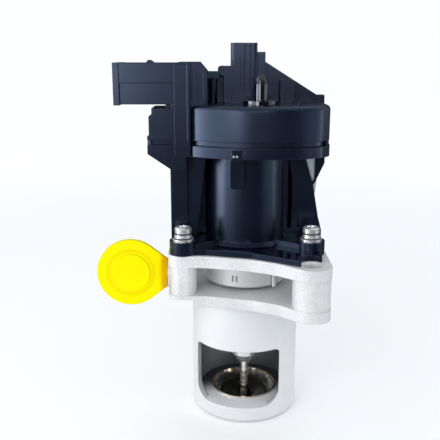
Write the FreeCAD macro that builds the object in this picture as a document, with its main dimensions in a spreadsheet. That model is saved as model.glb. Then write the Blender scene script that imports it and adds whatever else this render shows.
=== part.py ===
import FreeCAD, Part
import math
import os
import re
import Sketcher

# Electric exhaust gas recirculation valve.
# Origin: on the valve axis at the flange's underside, the face that meets the engine.
# +Z runs up the axis to the motor, -Y is the side of the window, -X the side of the electrical socket.

V = FreeCAD.Vector
TURNS_OF_SPRING = 4.5
SCREW_CORNERS = ((-1, -1), (1, -1), (1, 1), (-1, 1))
MOUNT_CORNERS = ((1, -1), (-1, 1))
STATOR_TEETH = 6
BEARING_BALLS = 9
TERMINAL_PLACES = (-2, -1, 0, 1, 2)

SIZES = {
    # aluminium casting
    "cage_radius": 29.0,
    "cage_inner_radius": 24.8,
    "cage_depth": 67.4,
    "cage_floor_depth": 58.3,
    "cage_roof_depth": 21.5,
    "cage_edge_fillet": 3.0,
    "window_width": 45.0,
    "window_top_depth": 25.8,
    "window_turn": -13.0,
    "window_low_corner": 8.0,
    "window_top_corner": 2.5,
    "flange_top": 27.0,
    "lower_plate_top": 5.7,
    "upper_plate_low": 20.8,
    "flange_half_width": 40.6,
    "flange_front": 28.9,
    "flange_bend_start": 21.0,
    "flange_bend_mid": 2.0,
    "flange_bend_mid_depth": 34.8,
    "flange_bend_end": 15.0,
    "flange_bend_end_depth": 41.5,
    "flange_lobe_start": 27.4,
    "flange_lobe_depth": 52.7,
    "flange_lobe_corner": 8.8,
    "flange_ear_corner": 6.6,
    "ear_relief_height": 3.6,
    "ear_relief_across": 27.0,
    "ear_relief_depth": 14.0,
    "mount_across": 31.0,
    "mount_depth": 43.0,
    "mount_hole_radius": 4.5,
    "mount_column_radius": 9.5,
    "mount_hole_chamfer": 0.8,
    "screw_across": 32.8,
    "screw_depth": 22.5,
    "screw_column_radius": 6.8,
    "screw_bore_depth": 15.0,
    "port_depth": 12.0,
    "port_height": 13.2,
    "port_boss_radius": 8.3,
    "port_bore_radius": 5.4,
    "port_face": 41.4,
    "port_bore_end": 27.0,
    "guide_boss_radius": 9.0,
    "guide_boss_depth": 33.0,
    # gas valve
    "seat_outer_radius": 18.4,
    "seat_rim_radius": 17.5,
    "seat_top_depth": 57.3,
    "seat_throat_radius": 13.2,
    "seat_throat_depth": 61.9,
    "seat_bottom_depth": 64.7,
    "seat_mouth_radius": 15.6,
    "seat_gap": 0.35,
    "head_radius": 15.0,
    "head_edge": 1.4,
    "head_hub_radius": 3.9,
    "head_neck_radius": 3.1,
    "head_hub_depth": 61.0,
    "head_neck_depth": 58.4,
    "head_dish_radius": 6.3,
    "head_dish_depth": 63.6,
    "head_dish_step": 0.6,
    "stem_radius": 2.4,
    "stem_top": 22.6,
    "stem_groove_radius": 1.9,
    "guide_radius": 5.5,
    "guide_nose_radius": 7.3,
    "guide_nose_depth": 38.5,
    "guide_tip_radius": 3.7,
    "guide_tip_depth": 43.5,
    "guide_top": 1.7,
    "stem_clearance": 0.06,
    "stem_seal_top": 5.2,
    "stem_seal_radius": 5.4,
    # spring and cup
    "cup_radius": 22.5,
    "cup_wall": 2.4,
    "cup_bottom": 7.5,
    "cup_floor": 9.3,
    "cup_rim_radius": 26.0,
    "cup_rim_thickness": 1.5,
    "cup_hole_radius": 6.5,
    "fit_gap": 0.02,
    "spring_wire_radius": 0.9,
    "spring_mean_radius": 11.3,
    "spring_top": 23.6,
    "retainer_radius": 14.0,
    "retainer_brim": 1.3,
    "retainer_hub_radius": 5.2,
    "retainer_hub_low": 17.6,
    "retainer_hub_top": 20.4,
    "clip_radius": 4.0,
    "clip_thickness": 0.9,
    # motor
    "barrel_radius": 22.0,
    "barrel_bore_radius": 20.0,
    "barrel_floor_top": 30.0,
    "barrel_lip_radius": 25.4,
    "barrel_lip_height": 3.2,
    "deck_low": 77.7,
    "deck_top": 83.0,
    "bearing_outer_radius": 11.0,
    "bearing_inner_radius": 6.0,
    "bearing_low": 31.0,
    "bearing_top": 37.0,
    "bearing_race": 1.4,
    "bearing_ball_radius": 1.5,
    "bearing_wall_radius": 13.4,
    "running_gap": 0.06,
    "case_low": 38.2,
    "case_top": 70.6,
    "case_wall": 1.1,
    "stator_low": 44.0,
    "stator_top": 64.0,
    "stator_bore_radius": 10.7,
    "slot_mouth_half": 1.2,
    "slot_start": 12.3,
    "slot_end": 16.0,
    "slot_start_half": 4.2,
    "slot_end_half": 6.3,
    "coil_start": 12.7,
    "coil_end": 15.2,
    "coil_inner_half": 2.62,
    "coil_outer_half": 4.8,
    "coil_overhang": 3.0,
    "magnet_radius": 10.1,
    "magnet_bore_radius": 8.4,
    "magnet_low": 43.0,
    "magnet_top": 65.0,
    "hub_flange_radius": 9.4,
    "hub_low": 31.6,
    "hub_top": 76.5,
    "hub_journal_radius": 5.0,
    "screw_thread_radius": 3.1,
    "screw_thread_root": 2.6,
    "screw_low": 22.9,
    "screw_top": 73.5,
    "screw_flat_half": 2.2,
    "screw_flat_top": 37.0,
    "guide_plate_radius": 9.0,
    "guide_plate_low": 27.2,
    "bracket_low": 70.6,
    "bracket_top": 76.2,
    "bushing_radius": 8.0,
    "sensor_magnet_radius": 7.0,
    "sensor_magnet_height": 2.6,
    "board_radius": 26.5,
    "board_low": 88.0,
    "board_thickness": 1.6,
    "board_wall_radius": 24.0,
    "board_wall_inner": 21.8,
    "cover_seal_radius": 28.6,
    "cover_seal_inner": 26.2,
    "cover_seal_depth": 1.3,
    # housing outside
    "base_inset": 1.9,
    "base_lobe_start": 24.5,
    "base_lobe_depth": 48.0,
    "base_lobe_side": 37.9,
    "base_thickness": 3.0,
    "mount_notch_radius": 6.6,
    "ear_radius": 7.0,
    "ear_top": 34.0,
    "column_left": 39.2,
    "column_mid": 30.6,
    "column_right": 22.6,
    "column_flare": 1.8,
    "column_front": 16.2,
    "column_step": 2.4,
    "column_back": 12.0,
    "buttress_top_reach": 29.5,
    "gusset_inner": 35.3,
    "gusset_drop": 6.0,
    "buttress_waist_reach": 34.6,
    "buttress_waist_height": 61.0,
    "buttress_mid_reach": 37.9,
    "buttress_mid_height": 43.0,
    "buttress_notch_left": 21.4,
    "buttress_notch_right": 28.1,
    "buttress_notch_low": 37.0,
    "buttress_notch_top": 74.5,
    "buttress_low_reach": 39.8,
    "buttress_front": 9.5,
    "buttress_thickness": 3.2,
    "latch_left": 8.4,
    "latch_right": 4.2,
    "latch_front": 39.4,
    "finger_left": 8.9,
    "finger_right": 2.4,
    "finger_front": 26.5,
    "finger_low": 61.2,
    "tower_left": 49.8,
    "tower_front": 24.0,
    "tower_back": 4.0,
    "tower_slope_low": 70.0,
    # cover
    "cap_low": 85.6,
    "cap_top": 102.5,
    "cap_inset": 1.5,
    "cap_wall": 2.5,
    "cap_ceiling": 99.5,
    "cap_left": 38.0,
    "cap_right": 40.3,
    "cap_arc_radius": 59.6,
    "cap_arc_across": 7.0,
    "cap_arc_back": 21.0,
    "cap_right_corner": 14.0,
    "cap_edge_fillet": 2.2,
    "deck_margin": 0.3,
    "socket_end": 65.8,
    "socket_root": 36.0,
    "socket_front": 22.0,
    "socket_back": 2.0,
    "socket_top": 122.4,
    "socket_wall": 2.2,
    "socket_floor": 42.0,
    "socket_step": 112.9,
    "socket_inset": 0.9,
    "socket_rim": 3.0,
    "conduit_right": 20.0,
    "conduit_front": 27.0,
    "conduit_top": 122.8,
    "pilaster_right": 28.3,
    "pilaster_front": 28.6,
    "terminal_pitch": 3.6,
    "terminal_width": 0.8,
    "terminal_thickness": 0.8,
    "terminal_height": 112.6,
    "terminal_tip": 57.0,
    "terminal_leg": 22.8,
    "post_left": 8.4,
    "post_right": 4.9,
    "post_front": 9.0,
    "post_back": 3.0,
    "post_top": 132.0,
    "small_post_right": 9.0,
    "small_post_top": 127.6,
    "web_end": 36.4,
    "web_start_height": 123.6,
    "web_end_height": 106.0,
    "web_half": 1.4,
    "ledge_low": 114.5,
    "ledge_top": 118.0,
    "step_top": 120.7,
    "pillar_radius": 2.1,
    "boss_left": 16.7,
    "boss_right": 23.5,
    "boss_front": 9.0,
    "boss_top": 113.6,
    "post_corner": 1.7,
    "wedge_left": 22.4,
    "wedge_right": 31.4,
    "wedge_front": 27.0,
    "wedge_back": 20.0,
    "plug_across": 6.0,
    "plug_front": 24.0,
    "plug_radius": 3.4,
    "plug_ring_radius": 8.8,
    "plug_ring_height": 2.2,
    "plug_top": 117.0,
    "plug_shoulder": 112.4,
    # fasteners
    "screw_head_radius": 4.3,
    "screw_head_height": 4.6,
    "screw_shank_radius": 2.5,
    "screw_length": 20.0,
    "washer_radius": 5.4,
    "washer_thickness": 1.1,
    "spring_washer_radius": 4.5,
    "spring_washer_thickness": 1.3,
    "sleeve_radius": 4.2,
    # transit plug
    "tab_across": 61.5,
    "tab_radius": 18.0,
    "tab_half": 1.3,
    "tab_ring_radius": 10.3,
    "tab_ring_step": 0.9,
    "tab_neck_half": 7.4,
    "tab_flank_turn": 48.0,
    "plug_gap": 0.3,
    "tab_collar": 3.2,
    # small pieces
    "pin_radius": 1.2,
    "pin_across": 14.5,
    "pin_front": 19.6,
    "pin_low": 7.4,
    "pin_top": 24.6,
}


def make_sheet(doc):
    """All driving dimensions, one cell each, in millimetres or degrees."""
    sheet = doc.addObject("Spreadsheet::Sheet", "Sizes")
    for row, (name, value) in enumerate(SIZES.items(), start=1):
        sheet.set("A%d" % row, name)
        sheet.set("B%d" % row, str(value))
        sheet.setAlias("B%d" % row, name)
    doc.recompute()
    return sheet


def linked(text):
    """Turn size names in an expression into references to the sheet."""
    return re.sub(r"\b[a-z]+(?:_[a-z]+)+\b", lambda found: "Sizes." + found.group(0), str(text))


def new_body(label):
    body = doc.addObject("PartDesign::Body", "Body_" + label)
    body.Label = label
    return body


def place(piece, across="0", depth="0", height="0"):
    """Set a piece's position from sheet sizes."""
    for axis, text in (("x", across), ("y", depth), ("z", height)):
        if str(text) != "0":
            piece.setExpression("Placement.Base." + axis, linked(text))


def sketch_on(body, role, offset="0"):
    """Empty sketch on one of the body's planes: XY looks down, XZ from the front, YZ from the right."""
    sketch = body.newObject("Sketcher::SketchObject", "Sketch")
    plane = [item for item in body.Origin.OriginFeatures if item.Role == role + "_Plane"][0]
    sketch.AttachmentSupport = [(plane, "")]
    sketch.MapMode = "FlatFace"
    if str(offset) != "0":
        sketch.setExpression("AttachmentOffset.Base.z", linked(offset))
    return sketch


def pin_point(sketch, item, end, across, up):
    """Fix a sketch point by its two coordinates."""
    for kind, text, axis in (("DistanceX", across, -2), ("DistanceY", up, -1)):
        if str(text) == "0":
            sketch.addConstraint(Sketcher.Constraint("PointOnObject", item, end, axis))
            continue
        point = sketch.getPoint(item, end)
        start = point.x if kind == "DistanceX" else point.y
        number = sketch.addConstraint(Sketcher.Constraint(kind, -1, 1, item, end, start))
        sketch.setExpression("Constraints[%d]" % number, linked(text))


def outline(sketch, points):
    """Closed outline of straight lines through the given points."""
    first = sketch.GeometryCount
    count = len(points)
    spots = [V(60 * math.cos(2 * math.pi * k / count), 60 * math.sin(2 * math.pi * k / count), 0)
             for k in range(count)]
    for k in range(count):
        sketch.addGeometry(Part.LineSegment(spots[k], spots[(k + 1) % count]), False)
    for k in range(count):
        sketch.addConstraint(Sketcher.Constraint("Coincident", first + k, 2, first + (k + 1) % count, 1))
    for k, (across, up) in enumerate(points):
        pin_point(sketch, first + k, 1, across, up)


def circle(sketch, across, up, radius):
    item = sketch.addGeometry(Part.Circle(V(5, 5, 0), V(0, 0, 1), 5), False)
    number = sketch.addConstraint(Sketcher.Constraint("Radius", item, 5.0))
    sketch.setExpression("Constraints[%d]" % number, linked(radius))
    if str(across) == "0" and str(up) == "0":
        sketch.addConstraint(Sketcher.Constraint("Coincident", item, 3, -1, 1))
    else:
        pin_point(sketch, item, 3, across, up)


def box_outline(sketch, left, right, low, high):
    outline(sketch, [(left, low), (right, low), (right, high), (left, high)])


def window_outline(sketch):
    """Window outline: square top corners, round bottom ones."""
    half = size["window_width"] / 2
    low = -size["cage_floor_depth"]
    high = -size["window_top_depth"]
    corner = size["window_low_corner"]
    inner = half - corner
    rise = low + corner
    ends = {"half": "window_width / 2", "low": "-cage_floor_depth", "high": "-window_top_depth",
            "inner": "(window_width / 2 - window_low_corner)", "rise": "-cage_floor_depth + window_low_corner"}
    lines = [((-inner, low), (inner, low)), ((half, rise), (half, high)),
             ((half, high), (-half, high)), ((-half, high), (-half, rise))]
    texts = [(("-" + ends["inner"], ends["low"]), (ends["inner"], ends["low"])),
             ((ends["half"], ends["rise"]), (ends["half"], ends["high"])),
             ((ends["half"], ends["high"]), ("-" + ends["half"], ends["high"])),
             (("-" + ends["half"], ends["high"]), ("-" + ends["half"], ends["rise"]))]
    for (start, end), (start_text, end_text) in zip(lines, texts):
        item = sketch.addGeometry(Part.LineSegment(V(*start, 0), V(*end, 0)), False)
        pin_point(sketch, item, 1, *start_text)
        pin_point(sketch, item, 2, *end_text)
    for centre, begin_turn, begin, end in ((inner, 270, (0, 2), (1, 1)), (-inner, 180, (3, 2), (0, 1))):
        bend = Part.Circle(V(centre, rise, 0), V(0, 0, 1), corner)
        arc = Part.ArcOfCircle(bend, math.radians(begin_turn), math.radians(begin_turn + 90))
        item = sketch.addGeometry(arc, False)
        sketch.addConstraint(Sketcher.Constraint("Coincident", item, 1, *begin))
        sketch.addConstraint(Sketcher.Constraint("Coincident", item, 2, *end))
        number = sketch.addConstraint(Sketcher.Constraint("Radius", item, corner))
        sketch.setExpression("Constraints[%d]" % number, linked("window_low_corner"))


def pad(body, sketch, length, back=False, middle=False):
    feature = body.newObject("PartDesign::Pad", "Pad")
    feature.Profile = sketch
    feature.setExpression("Length", linked(length))
    feature.Reversed = back
    feature.Midplane = middle
    return feature


def pocket(body, sketch, length, back=False, middle=False):
    feature = body.newObject("PartDesign::Pocket", "Pocket")
    feature.Profile = sketch
    feature.setExpression("Length", linked(length))
    feature.Reversed = back
    feature.Midplane = middle
    return feature


def pad_box(body, role, offset, left, right, low, high, length, back=False):
    sketch = sketch_on(body, role, offset)
    box_outline(sketch, left, right, low, high)
    return pad(body, sketch, length, back)


def cut_box(body, role, offset, left, right, low, high, length, back=False):
    sketch = sketch_on(body, role, offset)
    box_outline(sketch, left, right, low, high)
    return pocket(body, sketch, length, back)


def turn(body, profile, hollow=False):
    """Revolve a profile of (radius, height) points about the body's Z axis; hollow removes it."""
    sketch = sketch_on(body, "XZ")
    outline(sketch, profile)
    kind = "PartDesign::Groove" if hollow else "PartDesign::Revolution"
    feature = body.newObject(kind, "Turn")
    feature.Profile = sketch
    feature.ReferenceAxis = (sketch, ["V_Axis"])
    feature.Angle = 360
    return feature


def turned(label, profile, across="0", depth="0"):
    """A piece made of one revolved profile."""
    body = new_body(label)
    turn(body, profile)
    place(body, across, depth)
    return body


def ring(label, outer, inner, low, high, across="0", depth="0"):
    return turned(label, [(inner, low), (outer, low), (outer, high), (inner, high)], across, depth)


def group(label, pieces):
    """Several equal separate solids as one piece."""
    compound = doc.addObject("Part::Compound", "Group_" + label)
    compound.Links = pieces
    compound.Label = label
    return compound


def repeat_around(body, feature, count):
    """Repeat a feature of a body evenly about the Z axis."""
    pattern = body.newObject("PartDesign::PolarPattern", "Pattern")
    pattern.Originals = [feature]
    pattern.Axis = (feature.Profile[0], ["N_Axis"])
    pattern.Angle = 360
    pattern.Occurrences = count
    body.Tip = pattern
    return pattern


def edge_names(shape, accept):
    """Names of the edges that a test accepts."""
    return ["Edge%d" % number for number, edge in enumerate(shape.Edges, start=1) if accept(edge)]


def is_upright(edge):
    if len(edge.Vertexes) != 2 or edge.Curve.TypeId != "Part::GeomLine":
        return False
    a, b = (vertex.Point for vertex in edge.Vertexes)
    return math.hypot(a.x - b.x, a.y - b.y) < 1e-4


def near(edge, across, depth, reach=0.6):
    point = edge.Vertexes[0].Point
    return math.hypot(point.x - across, point.y - depth) < reach


def soften(body, names, radius, chamfer=False):
    """Round or bevel edges of the body's newest feature."""
    doc.recompute()
    base = body.Tip
    feature = body.newObject("PartDesign::Chamfer" if chamfer else "PartDesign::Fillet", "Soften")
    feature.Base = (base, names)
    feature.setExpression("Size" if chamfer else "Radius", linked(radius))
    doc.recompute()
    return feature


def rim_edges(shape, radius, height):
    """Full circles of one radius at one height, centred on Z."""
    def accept(edge):
        if edge.Curve.TypeId != "Part::GeomCircle":
            return False
        centre = edge.Curve.Center
        return (abs(edge.Curve.Radius - radius) < 0.01 and abs(centre.z - height) < 0.01
                and math.hypot(centre.x, centre.y) < 0.01)
    return edge_names(shape, accept)


def flange_points(inset="0", lobe_start="flange_lobe_start", lobe_depth="flange_lobe_depth",
                  lobe_side="flange_half_width"):
    """S-shaped flange outline: one half as (across, depth) texts, the other half is it turned round."""
    half = [("-flange_half_width + %s" % inset, "-flange_front + %s" % inset),
            ("-flange_bend_start", "-flange_front + %s" % inset),
            ("flange_bend_mid", "-flange_bend_mid_depth + %s" % inset),
            ("flange_bend_end - 0.4 * %s" % inset, "-flange_bend_end_depth + %s" % inset),
            (lobe_start, "-%s + %s" % (lobe_depth, inset)),
            ("%s - %s" % (lobe_side, inset), "-%s + %s" % (lobe_depth, inset))]
    turned_half = [("-1 * (%s)" % across, "-1 * (%s)" % depth) for across, depth in half]
    return half + turned_half


def make_valve_body():
    """Aluminium casting: two-plate flange, columns, plug port and the gas cage with its window."""
    body = new_body("valve_body")
    sketch = sketch_on(body, "XY")
    outline(sketch, flange_points())
    pad(body, sketch, "flange_top")
    doc.recompute()

    shape = body.Shape
    for sign in (1, -1):
        bends = []
        for across, depth in ((-size["flange_bend_start"], -size["flange_front"]),
                              (size["flange_bend_mid"], -size["flange_bend_mid_depth"]),
                              (size["flange_bend_end"], -size["flange_bend_end_depth"])):
            bends += edge_names(shape, lambda e: is_upright(e) and near(e, sign * across, sign * depth))
        if sign == 1:
            first_bends = bends
    bends = first_bends + bends
    soften(body, bends, "flange_lobe_corner * 2.4")
    lobes = edge_names(body.Shape, lambda e: is_upright(e) and (
        near(e, size["flange_lobe_start"], -size["flange_lobe_depth"])
        or near(e, size["flange_half_width"], -size["flange_lobe_depth"])
        or near(e, -size["flange_lobe_start"], size["flange_lobe_depth"])
        or near(e, -size["flange_half_width"], size["flange_lobe_depth"])))
    soften(body, lobes, "flange_lobe_corner")
    ears = edge_names(body.Shape, lambda e: is_upright(e) and (
        near(e, -size["flange_half_width"], -size["flange_front"])
        or near(e, size["flange_half_width"], size["flange_front"])))
    soften(body, ears, "flange_ear_corner")

    slot = sketch_on(body, "XY", "upper_plate_low")
    box_outline(slot, "-flange_half_width - 5", "flange_half_width + 5",
                "-flange_lobe_depth - 5", "flange_lobe_depth + 5")
    for side, way in SCREW_CORNERS:
        circle(slot, "%d * screw_across" % side, "%d * screw_depth" % way, "screw_column_radius")
    for side, way in MOUNT_CORNERS:
        circle(slot, "%d * mount_across" % side, "%d * mount_depth" % way, "mount_column_radius")
    pocket(body, slot, "upper_plate_low - lower_plate_top")

    cut_box(body, "XY", "ear_relief_height", "-flange_half_width - 1", "-ear_relief_across",
            "-flange_front - 1", "-ear_relief_depth", "ear_relief_height + 1")
    cage = sketch_on(body, "XY")
    circle(cage, "0", "0", "cage_radius")
    pad(body, cage, "cage_depth", back=True)
    turn(body, [("0", "-guide_boss_depth"), ("guide_boss_radius", "-guide_boss_depth"),
                ("guide_boss_radius", "-cage_roof_depth"), ("cage_inner_radius", "-cage_roof_depth"),
                ("cage_inner_radius", "-cage_floor_depth"),
                ("seat_outer_radius + fit_gap", "-cage_floor_depth"),
                ("seat_outer_radius + fit_gap", "-cage_depth - 1"), ("0", "-cage_depth - 1")], hollow=True)
    turn(body, [("0", "-guide_boss_depth - 1"), ("guide_radius + fit_gap", "-guide_boss_depth - 1"),
                ("guide_radius + fit_gap", "lower_plate_top + 1"), ("0", "lower_plate_top + 1")], hollow=True)
    turn(body, [("0", "lower_plate_top"), ("cup_radius + fit_gap", "lower_plate_top"),
                ("cup_radius + fit_gap", "flange_top - cup_rim_thickness"),
                ("cup_rim_radius + fit_gap", "flange_top - cup_rim_thickness"),
                ("cup_rim_radius + fit_gap", "flange_top + 1"), ("0", "flange_top + 1")], hollow=True)

    port = sketch_on(body, "YZ", "-port_face")
    circle(port, "-port_depth", "port_height", "port_boss_radius")
    pad(body, port, "port_face - screw_across + 6")
    bore = sketch_on(body, "YZ", "-port_face")
    circle(bore, "-port_depth", "port_height", "port_bore_radius + fit_gap")
    pocket(body, bore, "port_face - port_bore_end", back=True)

    window = sketch_on(body, "XZ")
    window.AttachmentOffset = FreeCAD.Placement(V(0, 0, 0), FreeCAD.Rotation(V(0, 1, 0), size["window_turn"]))
    window.setExpression("AttachmentOffset.Rotation.Angle", linked("window_turn * 1 deg"))
    window_outline(window)
    pocket(body, window, "cage_radius + 4", back=True)
    doc.recompute()
    facing = FreeCAD.Rotation(V(0, 0, 1), size["window_turn"]).multVec(V(0, -1, 0))

    def window_corner(depth):
        def accept(edge):
            if edge.Curve.TypeId != "Part::GeomLine" or edge.Length > size["cage_radius"]:
                return False
            a, b = (vertex.Point for vertex in edge.Vertexes)
            along = (b - a).normalize()
            return abs(abs(along.dot(facing)) - 1) < 1e-4 and abs(a.z + depth) < 0.01
        return accept
    soften(body, edge_names(body.Shape, window_corner(size["window_top_depth"])), "window_top_corner")

    for side, way in MOUNT_CORNERS:
        hole = sketch_on(body, "XY", "flange_top")
        circle(hole, "%d * mount_across" % side, "%d * mount_depth" % way, "mount_hole_radius")
        pocket(body, hole, "flange_top + 1")
    for side, way in SCREW_CORNERS:
        hole = sketch_on(body, "XY", "flange_top")
        circle(hole, "%d * screw_across" % side, "%d * screw_depth" % way, "screw_shank_radius + fit_gap")
        pocket(body, hole, "screw_bore_depth")
    pin = sketch_on(body, "XY", "pin_top")
    circle(pin, "pin_across", "-pin_front", "pin_radius + fit_gap")
    pocket(body, pin, "pin_top - upper_plate_low + 1")
    doc.recompute()

    rims = rim_edges(body.Shape, size["cage_radius"], -size["cage_depth"])
    soften(body, rims, "cage_edge_fillet")
    mouths = edge_names(body.Shape, lambda e: e.Curve.TypeId == "Part::GeomCircle"
                        and abs(e.Curve.Radius - size["mount_hole_radius"]) < 0.01
                        and abs(e.Curve.Center.z - size["flange_top"]) < 0.01)
    soften(body, mouths, "mount_hole_chamfer", chamfer=True)
    return body


def make_gas_valve():
    """Seat ring, poppet head and stem, guide bush and stem seal."""
    turned("valve_seat", [
        ("seat_outer_radius", "-seat_bottom_depth"), ("seat_outer_radius", "-seat_top_depth"),
        ("seat_rim_radius", "-seat_top_depth"), ("seat_rim_radius - 0.5", "-seat_top_depth - 2.0"),
        ("seat_rim_radius - 1.6", "-seat_top_depth - 3.2"), ("seat_throat_radius + 1.2", "-seat_top_depth - 4.2"),
        ("seat_throat_radius", "-seat_throat_depth"), ("seat_mouth_radius", "-seat_bottom_depth")])
    turned("valve_head", [
        ("stem_radius + fit_gap", "-head_neck_depth"), ("head_neck_radius", "-head_neck_depth"),
        ("head_neck_radius", "-head_hub_depth"), ("head_hub_radius", "-head_hub_depth"),
        ("head_hub_radius", "-head_dish_depth + head_dish_step"), ("head_dish_radius", "-head_dish_depth"),
        ("seat_throat_radius - 2 * seat_gap", "-seat_throat_depth - seat_gap"),
        ("head_radius", "-seat_bottom_depth - seat_gap"),
        ("head_radius", "-seat_bottom_depth - seat_gap - head_edge"),
        ("head_hub_radius", "-seat_bottom_depth - seat_gap - head_edge"),
        ("stem_radius + fit_gap", "-seat_bottom_depth - seat_gap - head_edge")])
    turned("valve_stem", [
        ("0", "-seat_bottom_depth - seat_gap - head_edge"), ("stem_radius", "-seat_bottom_depth - seat_gap - head_edge"),
        ("stem_radius", "retainer_hub_top"), ("stem_groove_radius", "retainer_hub_top"),
        ("stem_groove_radius", "retainer_hub_top + clip_thickness"),
        ("stem_radius", "retainer_hub_top + clip_thickness"), ("stem_radius", "stem_top - 0.6"),
        ("stem_radius - 0.6", "stem_top"), ("0", "stem_top")])
    turned("stem_guide", [
        ("stem_radius + stem_clearance", "-guide_tip_depth"), ("guide_tip_radius", "-guide_tip_depth"),
        ("guide_nose_radius", "-guide_nose_depth"), ("guide_nose_radius", "-guide_boss_depth"),
        ("guide_radius", "-guide_boss_depth"), ("guide_radius", "guide_top"),
        ("stem_radius + stem_clearance", "guide_top")])
    turned("stem_seal", [
        ("stem_radius + stem_clearance", "guide_top"), ("stem_seal_radius", "guide_top"),
        ("stem_seal_radius", "stem_seal_top - 1.2"), ("stem_seal_radius - 1", "stem_seal_top"),
        ("stem_radius + stem_clearance", "stem_seal_top")])


def make_spring_pack():
    """Cup in the flange slot, return spring, its retainer and clip, and the locating pin."""
    turned("spring_cup", [
        ("cup_hole_radius", "cup_bottom"), ("cup_radius - 1", "cup_bottom"), ("cup_radius", "cup_bottom + 1"),
        ("cup_radius", "flange_top - cup_rim_thickness"), ("cup_rim_radius", "flange_top - cup_rim_thickness"),
        ("cup_rim_radius", "flange_top"), ("cup_radius - cup_wall", "flange_top"),
        ("cup_radius - cup_wall", "cup_floor"), ("cup_hole_radius", "cup_floor")])
    turned("spring_retainer", [
        ("stem_radius + fit_gap", "retainer_hub_low"), ("retainer_hub_radius", "retainer_hub_low"),
        ("retainer_hub_radius + 1.2", "retainer_hub_low + 1.6"),
        ("spring_mean_radius - 3", "spring_top"), ("retainer_radius", "spring_top"),
        ("retainer_radius", "spring_top + retainer_brim"), ("spring_mean_radius - 4", "spring_top + retainer_brim"),
        ("retainer_hub_radius", "retainer_hub_top"), ("stem_radius + fit_gap", "retainer_hub_top")])
    ring("retainer_clip", "clip_radius", "stem_groove_radius + fit_gap",
         "retainer_hub_top", "retainer_hub_top + clip_thickness")

    body = new_body("return_spring")
    sketch = sketch_on(body, "XZ")
    circle(sketch, "spring_mean_radius", "cup_floor + spring_wire_radius", "spring_wire_radius")
    coil = body.newObject("PartDesign::AdditiveHelix", "Coil")
    coil.Profile = sketch
    coil.ReferenceAxis = (sketch, ["V_Axis"])
    coil.Mode = "height-turns-angle"
    coil.setExpression("Height", linked("spring_top - cup_floor - 2 * spring_wire_radius"))
    coil.Turns = TURNS_OF_SPRING

    turned("locating_pin", [
        ("0", "pin_low"), ("pin_radius - 0.5", "pin_low"), ("pin_radius", "pin_low + 0.6"),
        ("pin_radius", "pin_top"), ("0", "pin_top")], "pin_across", "-pin_front")


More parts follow.
